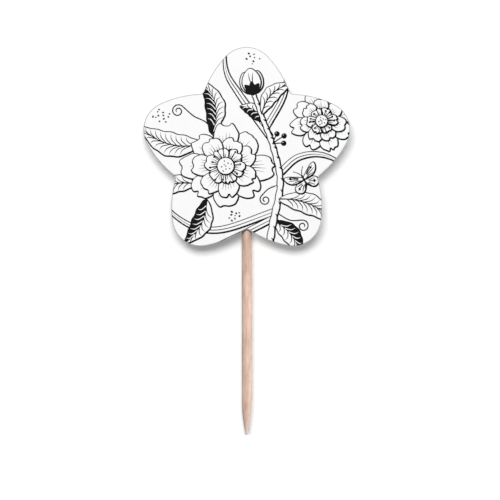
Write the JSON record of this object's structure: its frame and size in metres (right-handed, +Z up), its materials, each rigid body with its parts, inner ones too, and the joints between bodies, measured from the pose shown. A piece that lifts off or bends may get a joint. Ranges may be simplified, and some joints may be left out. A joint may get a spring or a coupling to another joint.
{
  "type": "cupcake pick",
  "caption": "Flat die-cut card flower with rounded petals on a round wooden stick with a ground point, its blank back card ridged over the stick.",
  "frame": {"origin": "the point of the stick, on the stick's axis", "axes": "+Z up the stick from its point towards the flower, -Y out of the printed face, +X to the right as the printed face is seen"},
  "size_m": [0.0414, 0.003, 0.0778],
  "materials": {
    "printed_card": "smooth coated white card, satin",
    "blank_card": "uncoated white card, matt",
    "wood": "bare pale wood with fine lengthwise grain",
    "tape": "double-sided tissue tape",
    "glue": "set hot-melt glue, milky",
    "ink": "black printing ink, satin"
  },
  "bodies": {
    "root": {"front_card": "printed_card", "back_card": "blank_card", "stick": "wood", "tape_left": "tape", "tape_right": "tape", "glue_bead": "glue"}
  },
  "joints": []
}
